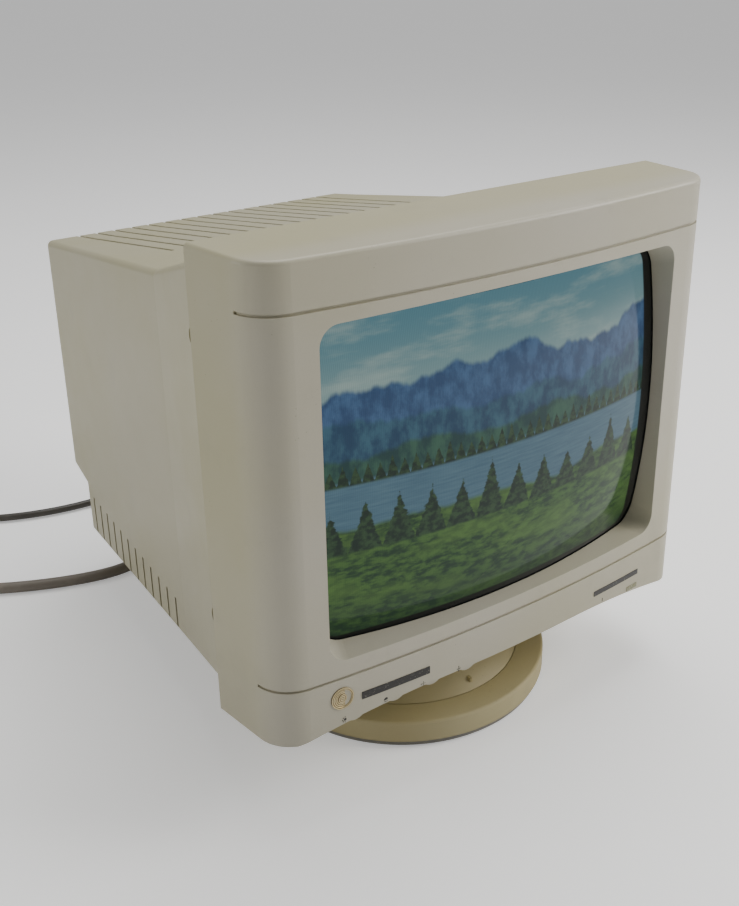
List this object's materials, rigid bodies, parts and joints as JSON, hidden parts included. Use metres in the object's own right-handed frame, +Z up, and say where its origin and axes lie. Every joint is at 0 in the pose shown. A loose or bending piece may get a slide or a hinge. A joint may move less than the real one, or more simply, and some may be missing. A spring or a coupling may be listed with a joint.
{
  "type": "desktop cathode ray tube monitor",
  "caption": "Desktop colour monitor with a cathode ray tube, tapering vented cabinet, lower-edge controls and a round tilt and swivel base; cables lie behind it.",
  "frame": {"origin": "on the desk, on the swivel axis of the base", "axes": "+Z up, the screen faces -Y, +X to the right of someone facing the screen"},
  "size_m": [0.5046, 0.7096, 0.383],
  "materials": {
    "beige_plastic": "fine moulded grain, slightly yellowed",
    "yellowed_plastic": "fine moulded grain, yellowed",
    "grey_plastic": "satin",
    "black_plastic": "satin",
    "cable_grey": "smooth sheath",
    "cable_dark": "smooth sheath",
    "rubber": "matte",
    "badge_gold": "satin gold lacquer",
    "badge_dark": "hot-stamped foil",
    "lens": "translucent",
    "panel_glass": "polished, tinted",
    "funnel_glass": "graphite-coated glass",
    "phosphor": "lit picture",
    "steel": "zinc plated",
    "mask_steel": "blackened",
    "gold_pin": "plated",
    "copper": "enamelled winding wire",
    "ferrite": "sintered",
    "tape": "wound tape",
    "board": "phenolic board",
    "aluminium": "extruded",
    "white_plastic": "satin"
  },
  "bodies": {
    "base": {"base_housing": "yellowed_plastic", "foot_plate": "grey_plastic", "rubber_feet": "rubber"},
    "turntable": {"turntable_dome": "yellowed_plastic", "swivel_retainer": "grey_plastic", "tilt_bolt": "steel", "tilt_spring": "steel", "signal_cable": "cable_grey", "power_cord": "cable_dark", "signal_plug": "cable_grey", "signal_pins": "steel", "mains_plug": "cable_dark", "mains_pins": "gold_pin"},
    "head": {"tilt_foot": "yellowed_plastic", "front_bezel": "beige_plastic", "rear_cabinet": "beige_plastic", "badge_roundel": "badge_gold", "badge_bars": "badge_dark", "indicator_lens": "lens", "cabinet_screws": "steel", "crt_panel": "panel_glass", "crt_funnel": "funnel_glass", "phosphor_screen": "phosphor", "shadow_mask": "mask_steel", "mask_frame": "mask_steel", "inner_shield": "mask_steel", "electron_gun": "steel", "crt_pin_base": "black_plastic", "rim_band": "steel", "tube_screws": "steel", "degaussing_coil": "tape", "anode_cap": "rubber", "anode_lead": "rubber", "earth_braid": "steel", "yoke_former": "white_plastic", "yoke_coils": "copper", "yoke_core": "ferrite", "yoke_clamp": "steel", "convergence_rings": "black_plastic", "tube_socket": "white_plastic", "neck_board": "board", "main_board": "board", "flyback_transformer": "black_plastic", "heat_sinks": "aluminium", "capacitors": "black_plastic", "switching_transformer": "ferrite", "control_board": "board", "power_switch": "white_plastic", "power_inlet": "black_plastic", "cord_connector": "cable_dark", "cable_grommet": "cable_grey"},
    "brightness_wheel": {"thumbwheel_1": "beige_plastic"},
    "contrast_wheel": {"thumbwheel_2": "beige_plastic"},
    "width_wheel": {"thumbwheel_3": "beige_plastic"},
    "height_wheel": {"thumbwheel_4": "beige_plastic"},
    "power_button_body": {"power_button": "beige_plastic"},
    "focus_adjuster": {"focus_knob": "white_plastic"},
    "screen_adjuster": {"screen_knob": "white_plastic"},
    "left_thumbscrew": {"thumbscrew_left": "grey_plastic"},
    "right_thumbscrew": {"thumbscrew_right": "grey_plastic"}
  },
  "joints": [
    {"name": "swivel", "type": "hinge", "parent": "base", "child": "turntable", "pos_m": [0, 0, 0.012], "axis": [0, 0, 1], "range_deg": [-45, 45]},
    {"name": "tilt", "type": "hinge", "parent": "turntable", "child": "head", "pos_m": [0, 0, 0.145], "axis": [-1, 0, 0], "range_deg": [-4, 9], "deforming": ["signal_cable", "power_cord"]},
    {"name": "brightness_turn", "type": "hinge", "parent": "head", "child": "brightness_wheel", "pos_m": [-0.125, -0.11798, 0.08062], "axis": [0, 1, 0], "range_deg": [-135, 135]},
    {"name": "contrast_turn", "type": "hinge", "parent": "head", "child": "contrast_wheel", "pos_m": [-0.0945, -0.12071, 0.08377], "axis": [0, 1, 0], "range_deg": [-135, 135]},
    {"name": "width_turn", "type": "hinge", "parent": "head", "child": "width_wheel", "pos_m": [-0.0655, -0.12267, 0.08497], "axis": [0, 1, 0], "range_deg": [-135, 135]},
    {"name": "height_turn", "type": "hinge", "parent": "head", "child": "height_wheel", "pos_m": [-0.0365, -0.12399, 0.085], "axis": [0, 1, 0], "range_deg": [-135, 135]},
    {"name": "power_press", "type": "slide", "parent": "head", "child": "power_button_body", "axis": [0, 0, 1], "range_m": [0, 0.003], "stiffness_N_per_m": 300},
    {"name": "focus_turn", "type": "hinge", "parent": "head", "child": "focus_adjuster", "pos_m": [-0.114, 0.2, 0.118], "axis": [0, 1, 0], "range_deg": [-120, 120]},
    {"name": "screen_turn", "type": "hinge", "parent": "head", "child": "screen_adjuster", "pos_m": [-0.094, 0.2, 0.118], "axis": [0, 1, 0], "range_deg": [-120, 120]},
    {"name": "left_thumbscrew_turn", "type": "hinge", "parent": "turntable", "child": "left_thumbscrew", "pos_m": [-0.3125, 0.43, 0.009], "axis": [0, 1, 0], "continuous": true},
    {"name": "right_thumbscrew_turn", "type": "hinge", "parent": "turntable", "child": "right_thumbscrew", "pos_m": [-0.28751, 0.43, 0.009], "axis": [0, 1, 0], "continuous": true}
  ]
}
